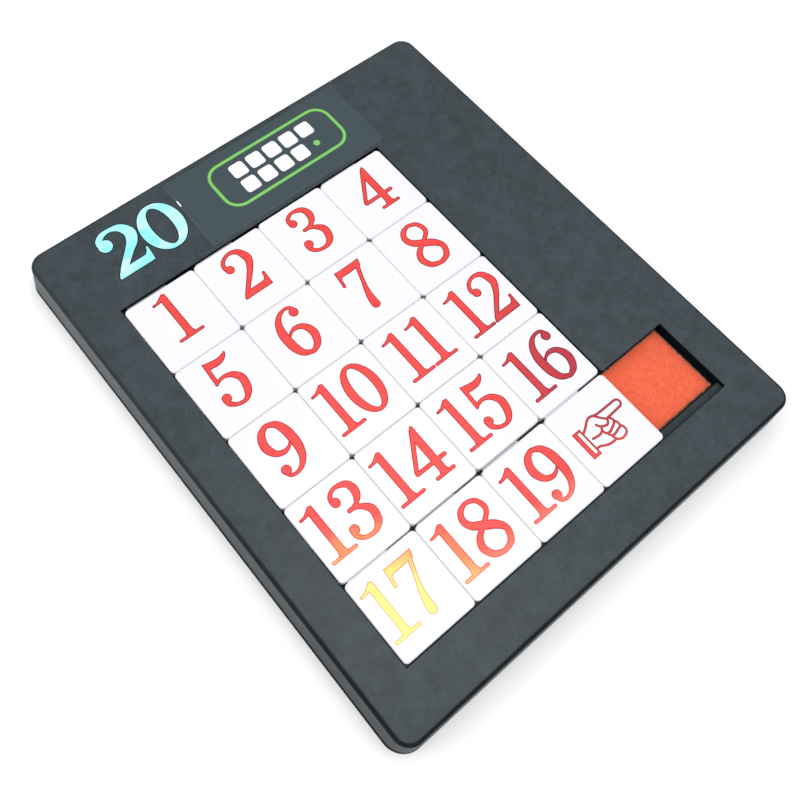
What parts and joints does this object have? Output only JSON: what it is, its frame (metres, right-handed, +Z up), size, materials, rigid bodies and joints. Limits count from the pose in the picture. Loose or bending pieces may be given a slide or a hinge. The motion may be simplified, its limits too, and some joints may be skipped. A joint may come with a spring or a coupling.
{
  "type": "sliding tile puzzle",
  "caption": "Flat dark case with white numbered tiles that slide on tongues and grooves, and a felt-lined parking bay beside the last row.",
  "frame": {"origin": "middle of the case's outline on its resting face", "axes": "+Z up out of the tiles' faces, +Y towards the heading along the case's length, +X the way the hand points"},
  "size_m": [0.151, 0.1724, 0.0111],
  "materials": {
    "case_plastic": "finely mottled satin",
    "inner_plastic": "matte",
    "tile_plastic": "glossy",
    "felt": "fuzzy",
    "sticker": "laminated satin"
  },
  "bodies": {
    "case": {"case_frame": "case_plastic", "tray_floor": "inner_plastic", "base_plate": "case_plastic", "felt_mat": "felt", "top_label": "sticker"},
    "tile_01": {"tile_01": "tile_plastic"},
    "tile_02": {"tile_02": "tile_plastic"},
    "tile_03": {"tile_03": "tile_plastic"},
    "tile_04": {"tile_04": "tile_plastic"},
    "tile_05": {"tile_05": "tile_plastic"},
    "tile_06": {"tile_06": "tile_plastic"},
    "tile_07": {"tile_07": "tile_plastic"},
    "tile_08": {"tile_08": "tile_plastic"},
    "tile_09": {"tile_09": "tile_plastic"},
    "tile_10": {"tile_10": "tile_plastic"},
    "tile_11": {"tile_11": "tile_plastic"},
    "tile_12": {"tile_12": "tile_plastic"},
    "tile_13": {"tile_13": "tile_plastic"},
    "tile_14": {"tile_14": "tile_plastic"},
    "tile_15": {"tile_15": "tile_plastic"},
    "tile_16": {"tile_16": "tile_plastic"},
    "tile_17": {"tile_17": "tile_plastic"},
    "tile_18": {"tile_18": "tile_plastic"},
    "tile_19": {"tile_19": "tile_plastic"},
    "tile_hand": {"tile_hand": "tile_plastic"}
  },
  "joints": [
    {"name": "row_5_push", "type": "slide", "parent": "case", "child": "tile_17", "axis": [-1, 0, 0], "range_m": [-0.025, 0]},
    {"name": "tile_18_pushed", "type": "slide", "parent": "case", "child": "tile_18", "axis": [-1, 0, 0], "range_m": [-0.025, 0]},
    {"name": "tile_19_pushed", "type": "slide", "parent": "case", "child": "tile_19", "axis": [-1, 0, 0], "range_m": [-0.025, 0]},
    {"name": "hand_slide", "type": "slide", "parent": "tile_19", "child": "tile_hand", "axis": [1, 0, 0], "range_m": [0, 0.025]},
    {"name": "column_1_play", "type": "slide", "parent": "case", "child": "tile_13", "axis": [0, 1, 0], "range_m": [-0.00028, 0.00042]},
    {"name": "tile_09_play", "type": "slide", "parent": "case", "child": "tile_09", "axis": [0, 1, 0], "range_m": [-0.00028, 0.00042]},
    {"name": "tile_05_play", "type": "slide", "parent": "case", "child": "tile_05", "axis": [0, 1, 0], "range_m": [-0.00028, 0.00042]},
    {"name": "tile_01_play", "type": "slide", "parent": "case", "child": "tile_01", "axis": [0, 1, 0], "range_m": [-0.00028, 0.00042]},
    {"name": "column_2_play", "type": "slide", "parent": "case", "child": "tile_14", "axis": [0, 1, 0], "range_m": [-0.00042, 0.00028]},
    {"name": "tile_10_play", "type": "slide", "parent": "case", "child": "tile_10", "axis": [0, 1, 0], "range_m": [-0.00042, 0.00028]},
    {"name": "tile_06_play", "type": "slide", "parent": "case", "child": "tile_06", "axis": [0, 1, 0], "range_m": [-0.00042, 0.00028]},
    {"name": "tile_02_play", "type": "slide", "parent": "case", "child": "tile_02", "axis": [0, 1, 0], "range_m": [-0.00042, 0.00028]},
    {"name": "column_3_play", "type": "slide", "parent": "case", "child": "tile_15", "axis": [0, 1, 0], "range_m": [-0.0007, 0]},
    {"name": "tile_11_play", "type": "slide", "parent": "case", "child": "tile_11", "axis": [0, 1, 0], "range_m": [-0.0007, 0]},
    {"name": "tile_07_play", "type": "slide", "parent": "case", "child": "tile_07", "axis": [0, 1, 0], "range_m": [-0.0007, 0]},
    {"name": "tile_03_play", "type": "slide", "parent": "case", "child": "tile_03", "axis": [0, 1, 0], "range_m": [-0.0007, 0]},
    {"name": "column_4_play", "type": "slide", "parent": "case", "child": "tile_16", "axis": [0, 1, 0], "range_m": [-0.00049, 0.00021]},
    {"name": "tile_12_play", "type": "slide", "parent": "case", "child": "tile_12", "axis": [0, 1, 0], "range_m": [-0.00049, 0.00021]},
    {"name": "tile_08_play", "type": "slide", "parent": "case", "child": "tile_08", "axis": [0, 1, 0], "range_m": [-0.00049, 0.00021]},
    {"name": "tile_04_play", "type": "slide", "parent": "case", "child": "tile_04", "axis": [0, 1, 0], "range_m": [-0.00049, 0.00021]}
  ],
  "couplings": [
    {"joint": "tile_18_pushed", "follows": "row_5_push", "ratio": 1},
    {"joint": "tile_19_pushed", "follows": "row_5_push", "ratio": 1},
    {"joint": "tile_09_play", "follows": "column_1_play", "ratio": 1},
    {"joint": "tile_05_play", "follows": "column_1_play", "ratio": 1},
    {"joint": "tile_01_play", "follows": "column_1_play", "ratio": 1},
    {"joint": "tile_10_play", "follows": "column_2_play", "ratio": 1},
    {"joint": "tile_06_play", "follows": "column_2_play", "ratio": 1},
    {"joint": "tile_02_play", "follows": "column_2_play", "ratio": 1},
    {"joint": "tile_11_play", "follows": "column_3_play", "ratio": 1},
    {"joint": "tile_07_play", "follows": "column_3_play", "ratio": 1},
    {"joint": "tile_03_play", "follows": "column_3_play", "ratio": 1},
    {"joint": "tile_12_play", "follows": "column_4_play", "ratio": 1},
    {"joint": "tile_08_play", "follows": "column_4_play", "ratio": 1},
    {"joint": "tile_04_play", "follows": "column_4_play", "ratio": 1}
  ]
}
